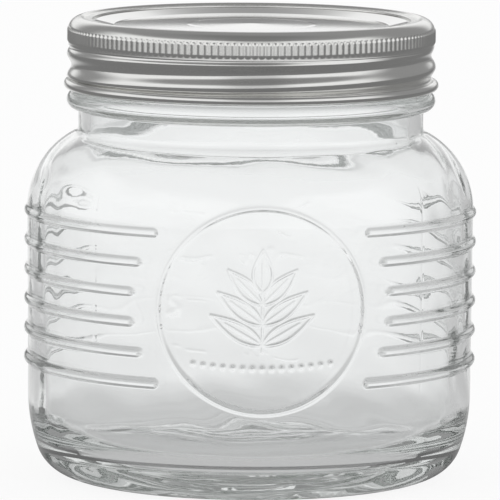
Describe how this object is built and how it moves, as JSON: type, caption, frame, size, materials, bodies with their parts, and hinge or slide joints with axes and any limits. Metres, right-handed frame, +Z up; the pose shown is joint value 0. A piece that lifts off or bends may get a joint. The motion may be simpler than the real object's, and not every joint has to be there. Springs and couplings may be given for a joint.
{
  "type": "storage jar",
  "caption": "Clear round glass storage jar with ribs moulded round both sides, a raised ring on the front panel, and a satin metal screw band holding a flat lid disc.",
  "frame": {"origin": "on the supporting surface, on the jar's axis, under the middle of the base", "axes": "+Z up along the jar's axis; -Y towards the front panel with the raised ring; +X to the right seen from the front"},
  "size_m": [0.1092, 0.108, 0.111],
  "materials": {
    "clear_glass": "clear pressed glass, gloss",
    "band_metal": "satin plated steel",
    "disc_metal": "satin plated steel"
  },
  "bodies": {
    "root": {"glass_jar": "clear_glass", "screw_band": "band_metal", "lid_disc": "disc_metal"}
  },
  "joints": []
}
